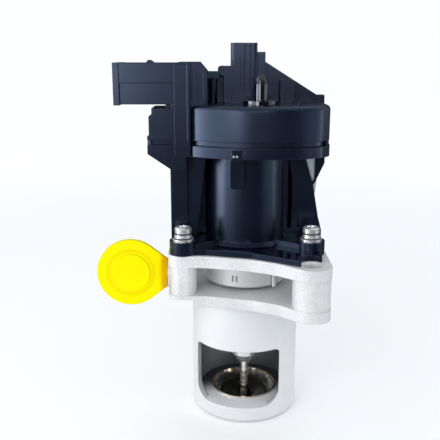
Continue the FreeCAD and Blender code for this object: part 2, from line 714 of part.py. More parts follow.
def make_motor():
    """Bearings, rotor, lead screw, stator and the parts that hold them."""
    screw = new_body("lead_screw")
    profile = [("0", "screw_low"), ("screw_thread_radius - 1", "screw_low"),
               ("screw_thread_radius", "screw_low + 1"), ("screw_thread_radius", "screw_flat_top")]
    for step in range(20):
        start = "screw_flat_top + %g" % (1.5 * step)
        profile += [("screw_thread_root", start + " + 0.4"), ("screw_thread_root", start + " + 0.8"),
                    ("screw_thread_radius", start + " + 1.2"), ("screw_thread_radius", start + " + 1.5")]
    profile += [("screw_thread_radius", "screw_top"), ("0", "screw_top")]
    turn(screw, profile)
    for side in (1, -1):
        flat = sketch_on(screw, "XY", "screw_flat_top")
        box_outline(flat, "-2 * screw_thread_radius", "2 * screw_thread_radius",
                    "%d * screw_flat_half" % side, "%d * (screw_flat_half + screw_thread_radius)" % side)
        pocket(screw, flat, "screw_flat_top - screw_low")

    plate = new_body("screw_guide")
    disc = sketch_on(plate, "XY", "guide_plate_low")
    circle(disc, "0", "0", "guide_plate_radius")
    pad(plate, disc, "barrel_floor_top - guide_plate_low")
    hole = sketch_on(plate, "XY", "barrel_floor_top")
    box_outline(hole, "-screw_thread_radius - running_gap", "screw_thread_radius + running_gap",
                "-screw_flat_half - running_gap", "screw_flat_half + running_gap")
    pocket(plate, hole, "barrel_floor_top - guide_plate_low + 1")

    ring("bearing_outer_race", "bearing_outer_radius", "bearing_outer_radius - bearing_race",
         "bearing_low", "bearing_top")
    ring("bearing_inner_race", "bearing_inner_radius + bearing_race", "bearing_inner_radius",
         "bearing_low", "bearing_top")
    balls = []
    for k in range(BEARING_BALLS):
        ball = doc.addObject("Part::Sphere", "Ball")
        angle = "%g deg" % (360 * k / BEARING_BALLS)
        track = "(bearing_outer_radius + bearing_inner_radius) / 2"
        ball.setExpression("Radius", linked("(bearing_outer_radius - bearing_inner_radius) / 2 - bearing_race - fit_gap"))
        place(ball, "%s * cos(%s)" % (track, angle), "%s * sin(%s)" % (track, angle),
              "(bearing_low + bearing_top) / 2")
        balls.append(ball)
    group("bearing_balls", balls)

    turned("rotor_hub", [
        ("screw_thread_radius + running_gap", "hub_low"), ("bearing_inner_radius - fit_gap", "hub_low"),
        ("bearing_inner_radius - fit_gap", "bearing_top"), ("hub_flange_radius", "bearing_top"),
        ("hub_flange_radius", "magnet_low"), ("magnet_bore_radius - fit_gap", "magnet_low"),
        ("magnet_bore_radius - fit_gap", "magnet_top"), ("hub_journal_radius", "magnet_top + 2"),
        ("hub_journal_radius", "hub_top"), ("screw_thread_radius + running_gap", "hub_top")])
    ring("rotor_magnet", "magnet_radius", "magnet_bore_radius", "magnet_low", "magnet_top")
    turned("sensor_magnet", [
        ("screw_thread_radius + 0.6", "hub_top"), ("sensor_magnet_radius", "hub_top"),
        ("sensor_magnet_radius", "hub_top + sensor_magnet_height"),
        ("screw_thread_radius + 0.6", "hub_top + sensor_magnet_height")])
    ring("upper_bushing", "bushing_radius", "hub_journal_radius + running_gap", "bracket_low", "bracket_top")
    turned("end_bracket", [
        ("bushing_radius + fit_gap", "bracket_low"), ("barrel_bore_radius - fit_gap", "bracket_low"),
        ("barrel_bore_radius - fit_gap", "bracket_low + 2.2"), ("bushing_radius + 3", "bracket_low + 2.2"),
        ("bushing_radius + 2.4", "bracket_top"), ("bushing_radius + fit_gap", "bracket_top")])
    ring("motor_case", "barrel_bore_radius - fit_gap", "barrel_bore_radius - case_wall", "case_low", "case_top")

    core = new_body("stator_core")
    disc = sketch_on(core, "XY", "stator_low")
    circle(disc, "0", "0", "barrel_bore_radius - case_wall - fit_gap")
    circle(disc, "0", "0", "stator_bore_radius")
    pad(core, disc, "stator_top - stator_low")
    gap = sketch_on(core, "XY", "stator_top")
    outline(gap, [("stator_bore_radius - 1", "-slot_mouth_half"), ("slot_start", "-slot_mouth_half"),
                  ("slot_start", "-slot_start_half"), ("slot_end", "-slot_end_half"),
                  ("slot_end", "slot_end_half"), ("slot_start", "slot_start_half"),
                  ("slot_start", "slot_mouth_half"), ("stator_bore_radius - 1", "slot_mouth_half")])
    repeat_around(core, pocket(core, gap, "stator_top - stator_low + 1"), STATOR_TEETH)

    coils = []
    for k in range(STATOR_TEETH):
        coil = new_body("coil")
        frame = sketch_on(coil, "YZ", "coil_start")
        box_outline(frame, "-coil_outer_half", "coil_outer_half",
                    "stator_low - coil_overhang", "stator_top + coil_overhang")
        box_outline(frame, "-coil_inner_half", "coil_inner_half",
                    "stator_low - 0.05", "stator_top + 0.05")
        pad(coil, frame, "coil_end - coil_start")
        coil.Placement = FreeCAD.Placement(V(0, 0, 0), FreeCAD.Rotation(V(0, 0, 1), 30 + 60 * k))
        coils.append(coil)
    group("stator_coils", coils)


def drum_outline(sketch, inset):
    """Outline of the cap: straight left and right sides, shallow arcs at front and back."""
    right = size["cap_right"]
    left = -size["cap_left"]
    radius = size["cap_arc_radius"]
    across = size["cap_arc_across"]
    back = size["cap_arc_back"]
    rise_right = math.sqrt(radius ** 2 - (right - across) ** 2) - back
    rise_left = math.sqrt(radius ** 2 - (left - across) ** 2) - back
    first = sketch.GeometryCount
    turn_left = math.atan2(rise_left + back, left - across)
    turn_right = math.atan2(rise_right + back, right - across)
    sketch.addGeometry(Part.LineSegment(V(right, -rise_right, 0), V(right, rise_right, 0)), False)
    sketch.addGeometry(Part.ArcOfCircle(Part.Circle(V(across, -back, 0), V(0, 0, 1), radius),
                                        turn_right, turn_left), False)
    sketch.addGeometry(Part.LineSegment(V(left, rise_left, 0), V(left, -rise_left, 0)), False)
    sketch.addGeometry(Part.ArcOfCircle(Part.Circle(V(across, back, 0), V(0, 0, 1), radius),
                                        -turn_left, -turn_right), False)
    for k in range(4):
        sketch.addConstraint(Sketcher.Constraint("Coincident", first + k, 2, first + (k + 1) % 4, 1))
    for item, sign in ((first + 1, -1), (first + 3, 1)):
        number = sketch.addConstraint(Sketcher.Constraint("Radius", item, radius))
        sketch.setExpression("Constraints[%d]" % number, linked("cap_arc_radius - (%s)" % inset))
        pin_point(sketch, item, 3, "cap_arc_across", "%d * cap_arc_back" % sign)
    for item, text in ((first, "cap_right - (%s)" % inset), (first + 2, "-cap_left + (%s)" % inset)):
        for end in (1, 2):
            number = sketch.addConstraint(Sketcher.Constraint("DistanceX", -1, 1, item, end, 1.0))
            sketch.setExpression("Constraints[%d]" % number, linked(text))


def round_corners(body, across, radius):
    """Round the upright edges that stand at one distance to the right."""
    names = edge_names(body.Shape, lambda e: is_upright(e) and abs(e.Vertexes[0].Point.x - across) < 0.02)
    return soften(body, names, radius)


def make_housing():
    """Plastic motor housing: barrel, ears, cable column, buttresses and deck."""
    body = new_body("motor_housing")
    deck = sketch_on(body, "XY", "deck_low")
    drum_outline(deck, "-deck_margin")
    pad(body, deck, "deck_top - deck_low")
    doc.recompute()
    round_corners(body, size["cap_right"] + size["deck_margin"], "cap_right_corner + deck_margin")

    turn(body, [("0", "flange_top"), ("barrel_lip_radius", "flange_top"),
                ("barrel_lip_radius", "flange_top + barrel_lip_height - 1.6"),
                ("barrel_radius", "flange_top + barrel_lip_height + 1.8"),
                ("barrel_radius", "deck_top"), ("0", "deck_top")])
    base = sketch_on(body, "XY", "flange_top")
    outline(base, flange_points("base_inset", "base_lobe_start", "base_lobe_depth", "base_lobe_side"))
    pad(body, base, "base_thickness")
    for side, way in MOUNT_CORNERS:
        notch = sketch_on(body, "XY", "flange_top + base_thickness")
        circle(notch, "%d * mount_across" % side, "%d * mount_depth" % way, "mount_notch_radius")
        pocket(body, notch, "base_thickness + 1")
    for side, way in SCREW_CORNERS:
        ear = sketch_on(body, "XY", "flange_top")
        circle(ear, "%d * screw_across" % side, "%d * screw_depth" % way, "ear_radius")
        pad(body, ear, "ear_top - flange_top")
        web = sketch_on(body, "XY", "flange_top")
        outline(web, [("%d * 8" % side, "%d * 12" % way),
                      ("%d * (screw_across - 3)" % side, "%d * (screw_depth + ear_radius - 1.6)" % way),
                      ("%d * (screw_across + ear_radius - 1.6)" % side, "%d * (screw_depth - 3)" % way),
                      ("%d * 16" % side, "%d * 2" % way)])
        pad(body, web, "ear_top - flange_top - 1.5")

    pad_box(body, "XY", "flange_top", "-column_left", "-column_mid", "-column_front + 8", "column_back",
            "deck_low - flange_top")
    pad_box(body, "XY", "ear_top - 1", "-column_left", "-column_mid", "-column_front", "column_back",
            "deck_low - ear_top + 1")
    front = sketch_on(body, "XZ", "column_front - column_step")
    outline(front, [("-column_mid - 1", "ear_top - 1"), ("-column_right - 3.4", "ear_top - 1"),
                    ("-column_right + column_flare", "deck_low"), ("-column_mid - 1", "deck_low")])
    pad(body, front, "column_front - column_step + column_back", back=True)
    pad_box(body, "XY", "ear_top - 1", "-column_mid", "-barrel_radius + 4", "-column_front + 12", "column_back - 8",
            "deck_low - ear_top + 1")

    for way in (1, -1):
        rib = sketch_on(body, "XZ", "%d * buttress_front" % way)
        outline(rib, [("barrel_radius - 8", "flange_top"), ("buttress_low_reach", "flange_top"),
                      ("buttress_low_reach", "ear_top + 2"), ("buttress_mid_reach", "buttress_mid_height"),
                      ("buttress_waist_reach", "buttress_waist_height"), ("buttress_top_reach", "deck_low"),
                      ("barrel_radius - 8", "deck_low")])
        pad(body, rib, "buttress_thickness", back=way > 0)
    pad_front(body, "buttress_front", "buttress_front - buttress_thickness", [
        ("buttress_waist_reach - 0.8", "buttress_waist_height - 2"),
        ("buttress_waist_reach + 1.0", "buttress_waist_height + 0.4"),
        ("cap_right", "deck_low - gusset_drop"), ("cap_right", "deck_low"), ("gusset_inner", "deck_low"),
        ("gusset_inner", "buttress_waist_height + 2.2"),
        ("buttress_waist_reach - 0.6", "buttress_waist_height + 0.4")])
    notch = sketch_on(body, "XZ", "buttress_front")
    outline(notch, [("buttress_notch_left", "buttress_notch_low"), ("buttress_notch_right", "buttress_notch_low"),
                    ("buttress_notch_left + 0.5", "buttress_notch_top"),
                    ("buttress_notch_left", "buttress_notch_top")])
    pocket(body, notch, "buttress_thickness")
    pad_box(body, "XZ", "buttress_front", "barrel_radius + 2", "barrel_radius + 5", "flange_top", "deck_low",
            "2 * buttress_front", back=True)

    pad_front(body, "latch_front", "latch_front - 8", [
        ("-latch_left", "deck_low - 0.8"), ("-latch_right", "deck_low - 0.8"), ("-latch_right", "deck_top - 0.6"),
        ("-latch_left", "deck_top - 0.6")])
    pad_front(body, "finger_front", "finger_front - 8", [
        ("-finger_left", "deck_low + 1"), ("-finger_left", "finger_low + 1.2"), ("-finger_left + 1", "finger_low"),
        ("-finger_right - 1", "finger_low"), ("-finger_right", "finger_low + 1.2"), ("-finger_right", "deck_low + 1")])

    tower = sketch_on(body, "XZ", "tower_front")
    outline(tower, [("-column_left + 2", "tower_slope_low"), ("-tower_left", "deck_low + 0.8"),
                    ("-tower_left", "deck_top"), ("-column_mid", "deck_top"), ("-column_mid", "tower_slope_low")])
    pad(body, tower, "tower_front - tower_back", back=True)
    pad_box(body, "XY", "deck_low", "-socket_root", "-pilaster_right", "-pilaster_front", "-10",
            "deck_top - deck_low")

    turn(body, [("0", "flange_top - 1"), ("guide_plate_radius + fit_gap", "flange_top - 1"),
                ("guide_plate_radius + fit_gap", "barrel_floor_top"),
                ("bearing_outer_radius + fit_gap", "bearing_low"), ("bearing_outer_radius + fit_gap", "bearing_top"),
                ("bearing_wall_radius", "bearing_top"), ("bearing_wall_radius", "barrel_floor_top"),
                ("barrel_bore_radius", "barrel_floor_top"), ("barrel_bore_radius", "deck_top + 1"),
                ("0", "deck_top + 1")], hollow=True)
    turn(body, [("board_wall_inner", "deck_top - 1"), ("board_wall_radius", "deck_top - 1"),
                ("board_wall_radius", "board_low"), ("board_wall_inner", "board_low")])
    turn(body, [("cover_seal_inner", "deck_top - cover_seal_depth"), ("cover_seal_radius", "deck_top - cover_seal_depth"),
                ("cover_seal_radius", "deck_top + 1"), ("cover_seal_inner", "deck_top + 1")], hollow=True)
    for side, way in SCREW_CORNERS:
        hole = sketch_on(body, "XY", "ear_top")
        circle(hole, "%d * screw_across" % side, "%d * screw_depth" % way, "sleeve_radius + fit_gap")
        pocket(body, hole, "ear_top - flange_top + 1")
    return body


def pad_front(body, front, back, points):
    """Solid between two depths from an outline of (across, height) points; front counts towards -Y."""
    sketch = sketch_on(body, "XZ", front)
    outline(sketch, points)
    return pad(body, sketch, "(%s) - (%s)" % (front, back), back=True)


def add_post(body, left, right, front, back, top):
    """Upright block on the cap between two sides and two depths; front counts towards -Y."""
    return pad_box(body, "XY", "cap_top - 1", left, right, "-(%s)" % front, "-(%s)" % back,
                   "%s - cap_top + 1" % top)


def add_drum(body):
    """The cap's drum with its inset foot and rounded top edge."""
    for low, inset in (("deck_top", "cap_inset"), ("cap_low", "0")):
        drum = sketch_on(body, "XY", low)
        drum_outline(drum, inset)
        pad(body, drum, "cap_top - 3 - deck_top" if low == "deck_top" else "cap_top - cap_low")
        doc.recompute()
        setback = size["cap_inset"] if low == "deck_top" else 0
        round_corners(body, size["cap_right"] - setback, "cap_right_corner - (%s)" % inset)
    top = edge_names(body.Shape, lambda e: all(abs(v.Point.z - size["cap_top"]) < 0.01 for v in e.Vertexes)
                     and e.Length > 3)
    soften(body, top, "cap_edge_fillet")


def add_socket(body):
    """Conduit block, stepped tower beside the drum and the socket shroud."""
    pad_box(body, "XY", "deck_top", "-socket_root", "-pilaster_right", "-pilaster_front", "-10",
            "conduit_top - 1 - deck_top")
    pad_box(body, "XY", "deck_top", "-tower_left + cap_inset", "-socket_root + 1", "-tower_front + cap_inset",
            "-tower_back - cap_inset", "cap_low - deck_top + 1")
    pad_front(body, "pilaster_front + 0.9", "10", [
        ("-pilaster_right - 1.4", "cap_low"), ("-pilaster_right", "cap_low"),
        ("-pilaster_right", "conduit_top"), ("-pilaster_right - 1.4", "conduit_top")])
    pad_front(body, "conduit_front", "socket_back", [
        ("-socket_root", "cap_top - 3"), ("-conduit_right", "cap_top - 3"),
        ("-conduit_right", "conduit_top - 4.4"), ("-conduit_right - 3.8", "conduit_top"),
        ("-socket_root + 2.2", "conduit_top"), ("-socket_root", "conduit_top - 1.2")])
    pad_box(body, "XY", "cap_top", "-conduit_right - 8.6", "-conduit_right - 1", "-conduit_front - 0.7", "-10", "1.6")
    for rib in ("-conduit_right - 5.6", "-conduit_right - 1.8"):
        pad_front(body, "conduit_front + 0.5", "10", [
            (rib, "cap_top - 0.5"), (rib + " + 0.7", "cap_top - 0.5"),
            (rib + " + 0.7", "conduit_top - 5"), (rib, "conduit_top - 5")])
    pad_box(body, "XY", "socket_step", "-socket_end", "-socket_root + 1", "-socket_front", "-socket_back + 4",
            "socket_top - socket_step")
    pad_box(body, "XY", "cap_top", "-socket_end + 1", "-socket_root + 1", "-socket_front + socket_inset",
            "-socket_back + 4 - socket_inset", "socket_step - cap_top + 1")
    pad_box(body, "YZ", "-socket_end - 0.2", "-socket_front - 0.4", "-socket_back + 4.4", "cap_top - 0.4",
            "socket_top + 0.1", "socket_rim")
    pad_front(body, "(socket_front + socket_back - 4) / 2 + 3", "(socket_front + socket_back - 4) / 2 - 3", [
        ("-socket_root - 15.5", "socket_top - 1"), ("-socket_root - 9.5", "socket_top - 1"),
        ("-socket_root - 12.4", "socket_top + 1.3"), ("-socket_root - 13.6", "socket_top + 1.3")])
    pad_front(body, "tower_front", "tower_back", [
        ("-tower_left", "cap_low"), ("-socket_root + 2", "cap_low"), ("-socket_root + 2", "cap_top + 1"),
        ("-socket_root - 1.6", "cap_top + 1"), ("-socket_root - 1.6", "cap_top - 1.7"),
        ("-tower_left + 2.4", "cap_top - 1.7"), ("-tower_left + 2.4", "cap_top - 5.6"),
        ("-tower_left + 0.9", "cap_top - 5.6"), ("-tower_left + 0.9", "cap_top - 15.4"),
        ("-tower_left", "cap_top - 15.4")])
    pad_box(body, "XY", "cap_top - 2.6", "-tower_left + 9", "-socket_root", "-tower_front - 0.1 + 4", "-tower_back",
            "3.2")


def add_posts(body):
    """Pillars, ledges, the sloping web and small bosses on the cap."""
    add_post(body, "-post_left", "post_right", "post_front", "-post_back", "post_top")
    doc.recompute()
    corners = edge_names(body.Shape, lambda e: is_upright(e) and (
        near(e, -size["post_left"], -size["post_front"]) or near(e, size["post_right"], -size["post_front"])))
    soften(body, corners, "post_corner")
    add_post(body, "post_right - 1", "small_post_right", "post_front - 2", "-post_back + 2", "small_post_top")
    pad_front(body, "post_front", "-post_back", [
        ("-conduit_right - 1", "ledge_low"), ("-post_left - 6", "ledge_low"), ("-post_left - 6", "ledge_top"),
        ("-conduit_right - 1", "ledge_top")])
    pad_front(body, "0.2", "-post_back + 0.3", [
        ("-conduit_right - 1", "cap_top - 1"), ("-post_left - 3", "cap_top - 1"),
        ("-post_left - 3", "ledge_top - 1"), ("-conduit_right - 1", "ledge_top - 1")])
    pillar = sketch_on(body, "XY", "cap_top - 1")
    circle(pillar, "-conduit_right + 2.6", "-post_front + 2.4", "pillar_radius")
    pad(body, pillar, "ledge_low + 0.1 - cap_top + 1")
    pad_front(body, "post_front", "-post_back", [
        ("-post_left - 6.6", "step_top - 3.5"), ("-post_left - 3.6", "step_top - 5.1"),
        ("-post_left - 3.6", "cap_top - 1"),
        ("-post_left + 2", "cap_top - 1"), ("-post_left + 2", "step_top"), ("-post_left - 5.6", "step_top"),
        ("-post_left - 6.6", "step_top - 0.9")])
    pad_front(body, "web_half", "-web_half", [
        ("small_post_right - 1", "cap_top - 1"), ("web_end", "cap_top - 1"),
        ("web_end", "web_end_height"), ("small_post_right - 1", "web_start_height")])
    add_post(body, "web_end - 1.2", "web_end + 3.5", "4", "-4", "web_end_height")
    add_post(body, "boss_left", "boss_right", "boss_front", "1", "boss_top")
    for rib in ("boss_left + 1.7", "boss_right - 1.2"):
        add_post(body, rib, rib + " + 0.9", "boss_front + 0.6", "1", "boss_top - 1")
    add_post(body, "-post_left + 0.4", "-1.4", "post_front + 5", "post_front - 1", "cap_top + 3.8")
    add_post(body, "-post_left + 1", "-1.8", "post_front + 3.4", "post_front - 1", "cap_top + 7.2")
    add_post(body, "-post_left + 2.6", "-post_left + 5", "post_front + 0.8", "post_front - 1", "post_top - 7.6")
    for groove in ("-1.6", "1.2"):
        cut_box(body, "XZ", "post_front", groove, groove + " + 1.1", "cap_top + 8", "post_top - 1.2", "0.9")
    pad_front(body, "wedge_front", "wedge_back", [
        ("wedge_left", "cap_top - 1"), ("wedge_right", "cap_top - 1"),
        ("wedge_left + 3.2", "cap_top + 2.6"), ("wedge_left + 2.2", "cap_top + 2.6")])


def make_cover():
    """Plastic cap with the socket, conduit block, posts and webs moulded on."""
    body = new_body("top_cover")
    add_drum(body)
    add_socket(body)
    add_posts(body)

    inner = sketch_on(body, "XY", "deck_top")
    drum_outline(inner, "cap_inset + cap_wall")
    pocket(body, inner, "cap_ceiling - deck_top", back=True)
    doc.recompute()
    round_corners(body, size["cap_right"] - size["cap_inset"] - size["cap_wall"],
                  "cap_right_corner - cap_inset - cap_wall")
    cut_box(body, "YZ", "-socket_end - 0.3", "-socket_front + socket_wall", "-socket_back + 4 - socket_wall",
            "cap_top + socket_wall", "socket_top - socket_wall", "socket_end + 0.3 - socket_floor", back=True)
    cut_box(body, "XY", "cap_ceiling - 0.5", "-socket_root + 2", "-conduit_right - 2",
            "-socket_front + socket_wall", "-socket_back + 4 - socket_wall",
            "conduit_top - 3 - cap_ceiling", back=True)
    for place_number in TERMINAL_PLACES:
        centre = terminal_place(place_number)
        cut_box(body, "YZ", "-socket_floor - 1",
                centre + " - terminal_width / 2 - fit_gap", centre + " + terminal_width / 2 + fit_gap",
                "terminal_height - terminal_thickness / 2 - fit_gap",
                "terminal_height + terminal_thickness / 2 + fit_gap",
                "socket_floor - socket_root + 4", back=True)
    return body


def terminal_place(number):
    """Depth of one terminal: the row is centred in the socket."""
    return "-(socket_front + socket_back - 4) / 2 + %d * terminal_pitch" % number


def make_electrics():
    """Terminals and circuit board."""
    pins = []
    for place_number in TERMINAL_PLACES:
        pin = new_body("terminal")
        bent = sketch_on(pin, "XZ", "terminal_width / 2")
        outline(bent, [("-terminal_tip", "terminal_height - terminal_thickness / 2"),
                       ("-terminal_leg - terminal_thickness", "terminal_height - terminal_thickness / 2"),
                       ("-terminal_leg - terminal_thickness", "board_low + board_thickness"),
                       ("-terminal_leg", "board_low + board_thickness"),
                       ("-terminal_leg", "terminal_height + terminal_thickness / 2"),
                       ("-terminal_tip", "terminal_height + terminal_thickness / 2")])
        pad(pin, bent, "terminal_width", back=True)
        place(pin, depth=terminal_place(place_number))
        pins.append(pin)
    group("connector_terminals", pins)
    ring("cover_seal", "cover_seal_radius - fit_gap", "cover_seal_inner + fit_gap",
         "deck_top - cover_seal_depth", "deck_top")
    turned("circuit_board", [("0", "board_low"), ("board_radius", "board_low"),
                             ("board_radius", "board_low + board_thickness"),
                             ("0", "board_low + board_thickness")])


def make_fasteners():
    """Four screws with spring and flat washers, and the sleeves in the ears."""
    head_low = "ear_top + washer_thickness + spring_washer_thickness"
    screws, flats, springs, sleeves = [], [], [], []
    for side, way in SCREW_CORNERS:
        spot = ("%d * screw_across" % side, "%d * screw_depth" % way)
        screws.append(turned("screw", [
            ("0", head_low + " - screw_length"), ("screw_shank_radius - 0.6", head_low + " - screw_length"),
            ("screw_shank_radius", head_low + " - screw_length + 0.8"), ("screw_shank_radius", head_low),
            ("screw_head_radius", head_low), ("screw_head_radius", head_low + " + screw_head_height - 0.6"),
            ("screw_head_radius - 0.6", head_low + " + screw_head_height"),
            ("2.3", head_low + " + screw_head_height"), ("2.0", head_low + " + screw_head_height - 2.2"),
            ("0", head_low + " + screw_head_height - 2.2")], *spot))
        flats.append(ring("flat_washer", "washer_radius", "screw_shank_radius + fit_gap",
                          "ear_top", "ear_top + washer_thickness", *spot))
        springs.append(ring("spring_washer", "spring_washer_radius", "screw_shank_radius + fit_gap",
                            "ear_top + washer_thickness", head_low, *spot))
        sleeves.append(ring("sleeve", "sleeve_radius", "screw_shank_radius + fit_gap",
                            "flange_top", "ear_top", *spot))
    group("housing_screws", screws)
    group("flat_washers", flats)
    group("spring_washers", springs)
    group("compression_sleeves", sleeves)


def make_plugs():
    """Transit plug with its round pull tab, and the domed test plug on the cap."""
    body = new_body("port_plug")
    tab = sketch_on(body, "XZ", "port_depth + tab_half")
    circle(tab, "-tab_across", "port_height", "tab_radius")
    pad(body, tab, "2 * tab_half", back=True)
    neck = sketch_on(body, "XZ", "port_depth + tab_half")
    flank = "-tab_across + tab_radius * cos(tab_flank_turn * 1 deg)"
    rise = "tab_radius * sin(tab_flank_turn * 1 deg)"
    outline(neck, [("-tab_across", "port_height - tab_radius / 2"), (flank, "port_height - " + rise),
                   ("-port_face - plug_gap", "port_height - tab_neck_half"),
                   ("-port_face - plug_gap", "port_height + tab_neck_half"),
                   (flank, "port_height + " + rise), ("-tab_across", "port_height + tab_radius / 2")])
    pad(body, neck, "2 * tab_half", back=True)
    ring_sketch = sketch_on(body, "XZ", "port_depth + tab_half + tab_ring_step")
    circle(ring_sketch, "-tab_across", "port_height", "tab_ring_radius")
    pad(body, ring_sketch, "2 * (tab_half + tab_ring_step)", back=True)
    collar = sketch_on(body, "YZ", "-port_face - plug_gap - tab_collar")
    circle(collar, "-port_depth", "port_height", "tab_neck_half - 0.2")
    pad(body, collar, "tab_collar")
    shank = sketch_on(body, "YZ", "-port_face - 0.5")
    circle(shank, "-port_depth", "port_height", "port_bore_radius - running_gap")
    pad(body, shank, "port_face - port_bore_end - 0.5")

    turned("test_plug", [
        ("0", "cap_top"), ("plug_ring_radius", "cap_top"), ("plug_ring_radius", "cap_top + plug_ring_height"),
        ("plug_radius", "cap_top + plug_ring_height"), ("plug_radius", "plug_shoulder"),
        ("plug_radius - 0.5", "plug_shoulder + 1.9"), ("plug_radius - 1.5", "plug_shoulder + 3.6"),
        ("plug_radius - 2.5", "plug_top"), ("0", "plug_top")], "plug_across", "-plug_front")


def piece_list():
    """Top objects that stand for real pieces: every body or group not used inside a group."""
    used = set()
    for item in doc.Objects:
        if item.TypeId == "Part::Compound":
            used.update(link.Name for link in item.Links)
    kinds = ("PartDesign::Body", "Part::Compound")
    return [item for item in doc.Objects if item.TypeId in kinds and item.Name not in used]


def check_and_export():
    doc.recompute()
    for item in doc.Objects:
        if "Invalid" in item.State or "Error" in item.State:
            raise RuntimeError("object %s (%s) is in state %s" % (item.Name, item.Label, item.State))
    for piece in piece_list():
        shape = piece.Shape
        if shape.isNull() or not shape.isValid():
            raise RuntimeError("piece %s has no valid shape" % piece.Label)
        shape.exportStep("parts/%s.step" % piece.Label)
        print(piece.Label, len(shape.Solids), round(shape.Volume, 1))


os.makedirs("parts", exist_ok=True)
doc = FreeCAD.newDocument("egr_valve")
sheet = make_sheet(doc)
size = {name: float(sheet.get(name)) for name in SIZES}
make_valve_body()
make_gas_valve()
make_spring_pack()
make_motor()
make_housing()
make_cover()
make_electrics()
make_fasteners()
make_plugs()
check_and_export()
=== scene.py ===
import math

import bmesh
import bpy
import numpy as np
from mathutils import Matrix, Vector


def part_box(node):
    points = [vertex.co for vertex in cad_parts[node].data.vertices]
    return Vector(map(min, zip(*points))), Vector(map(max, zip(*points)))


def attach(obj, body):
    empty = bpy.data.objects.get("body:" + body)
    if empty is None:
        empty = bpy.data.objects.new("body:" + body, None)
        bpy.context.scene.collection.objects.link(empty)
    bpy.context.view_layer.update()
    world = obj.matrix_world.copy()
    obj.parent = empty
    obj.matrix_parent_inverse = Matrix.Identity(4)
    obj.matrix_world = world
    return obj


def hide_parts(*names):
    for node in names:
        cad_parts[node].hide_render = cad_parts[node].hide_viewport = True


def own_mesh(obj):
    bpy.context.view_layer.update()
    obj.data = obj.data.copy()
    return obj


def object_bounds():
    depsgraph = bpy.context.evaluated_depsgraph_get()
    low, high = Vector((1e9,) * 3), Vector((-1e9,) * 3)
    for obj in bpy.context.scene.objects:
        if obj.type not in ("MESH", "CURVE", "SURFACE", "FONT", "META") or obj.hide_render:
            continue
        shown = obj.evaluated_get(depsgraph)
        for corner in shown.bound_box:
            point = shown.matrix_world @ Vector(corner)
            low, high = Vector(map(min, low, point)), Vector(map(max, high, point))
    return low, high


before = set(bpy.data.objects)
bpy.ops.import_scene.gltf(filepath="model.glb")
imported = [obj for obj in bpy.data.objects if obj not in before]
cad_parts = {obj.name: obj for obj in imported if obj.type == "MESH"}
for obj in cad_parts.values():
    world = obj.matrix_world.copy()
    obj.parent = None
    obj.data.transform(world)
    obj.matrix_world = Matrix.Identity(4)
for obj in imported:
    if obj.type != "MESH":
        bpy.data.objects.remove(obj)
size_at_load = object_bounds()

# Electric exhaust gas recirculation valve on a white table, seen from a little above the cage window.
# Lengths are in metres, in the frame of the solid parts: Z = 0 is the flange's underside.

# Camera, standing where the photograph was taken from
CAMERA_PLACE = (-0.0139, -0.3477, 0.1256)
CAMERA_PITCH = 14.0
LENS_PIXELS = 658.0
IMAGE_PIXELS = 440.0
SENSOR_MM = 36.0
NEAREST_SEEN = 0.01

# Table, white near the part, dim in reflections further out and lifted to white at the horizon
TABLE_Z = size_at_load[0][2]
TABLE_REACH = 1.6
TABLE_REFLECTED = (0.08, 0.095, 0.12)
TABLE_NEAR = 0.15
TABLE_FAR = 0.24
HORIZON_START = 0.35
HORIZON_END = 1.0
HORIZON_GLOW = 0.10

# Room: light on the part, backdrop for the camera, and the dark room with bright sides that gloss sees.
# Each bright side has its axis, where its light starts, where it is full, and its strength.
SHADE_COLOUR = (0.95, 0.975, 1.0)
SHADE_STRENGTH = 1.02
BACKDROP_COLOUR = (0.99, 0.995, 1.0)
ROOM_COLOUR = (0.92, 0.96, 1.0)
ROOM_DARK = 0.06
ROOM_SIDES = ((0, -0.45, -0.85, 1.5), (0, 0.6, 0.95, 0.7), (2, 0.3, 0.8, 0.8))

# Lamps: name, place, what it points at, width, height, watts, colour, and whether it gives diffuse light too
WHITE = (1.0, 1.0, 1.0)
COOL = (0.88, 0.94, 1.0)
PALE = (0.93, 0.97, 1.0)
LAMPS = (
    ("key", (-0.46, -0.13, 0.10), (0, 0, 0.05), 0.20, 0.34, 1.3, WHITE, False),
    ("low_left", (-0.38, -0.28, 0.02), (0, 0, 0.02), 0.36, 0.17, 0.42, COOL, False),
    ("low_right", (0.42, -0.22, 0.02), (0, 0, 0.02), 0.30, 0.17, 0.12, COOL, False),
    ("front", (-0.20, -0.46, 0.11), (-0.03, 0, 0.08), 0.14, 0.10, 0.40, WHITE, False),
    ("lens_side", (0.03, -0.46, 0.18), (0, 0, 0.10), 0.10, 0.06, 0.20, WHITE, False),
    ("fill", (0.46, -0.08, 0.06), (0, 0, 0.03), 0.06, 0.26, 0.15, PALE, False),
    ("window", (-0.28, -0.50, 0.30), (0, 0, -0.03), 0.30, 0.30, 0.7, WHITE, True),
)

# Finishes
EDGE_SOFT = 0.0005
BLUE_SHEEN = (0.52, 0.67, 1.0)
GLASS_SHEEN = (0.85, 0.93, 1.0)

# Casting: the bore behind the window, the ledge round the seat and the slot's floor, which carry painted
# shade and light, and where the flange starts
BORE_RADIUS = 0.0253
BORE_TOP = -0.0210
BORE_LOW = -0.0581
WALL_LEFT = -0.016
WALL_MIDDLE = -0.004
LEDGE_RADIUS = 0.0286
LEDGE_LOW = -0.0588
LEDGE_FRONT = -0.012
LEDGE_BACK = 0.004
SLOT_FLOOR_SHADE = (0.00598, 0.00602)
FLANGE_LOW = 0.0002

# Housing's deck, as the heights between which its top face lies
DECK_FACE = (0.02998, 0.03002)

# Yellow tab: where the orange painted shade at its neck starts and ends, and the ring of painted shade round
# its disc as a share of the disc's radius
NECK_START = -0.0470
NECK_END = -0.0430
RING_SHARE = 0.68
RING_WIDTH = 0.0014

# Return spring
SAME_POINT = 0.000001

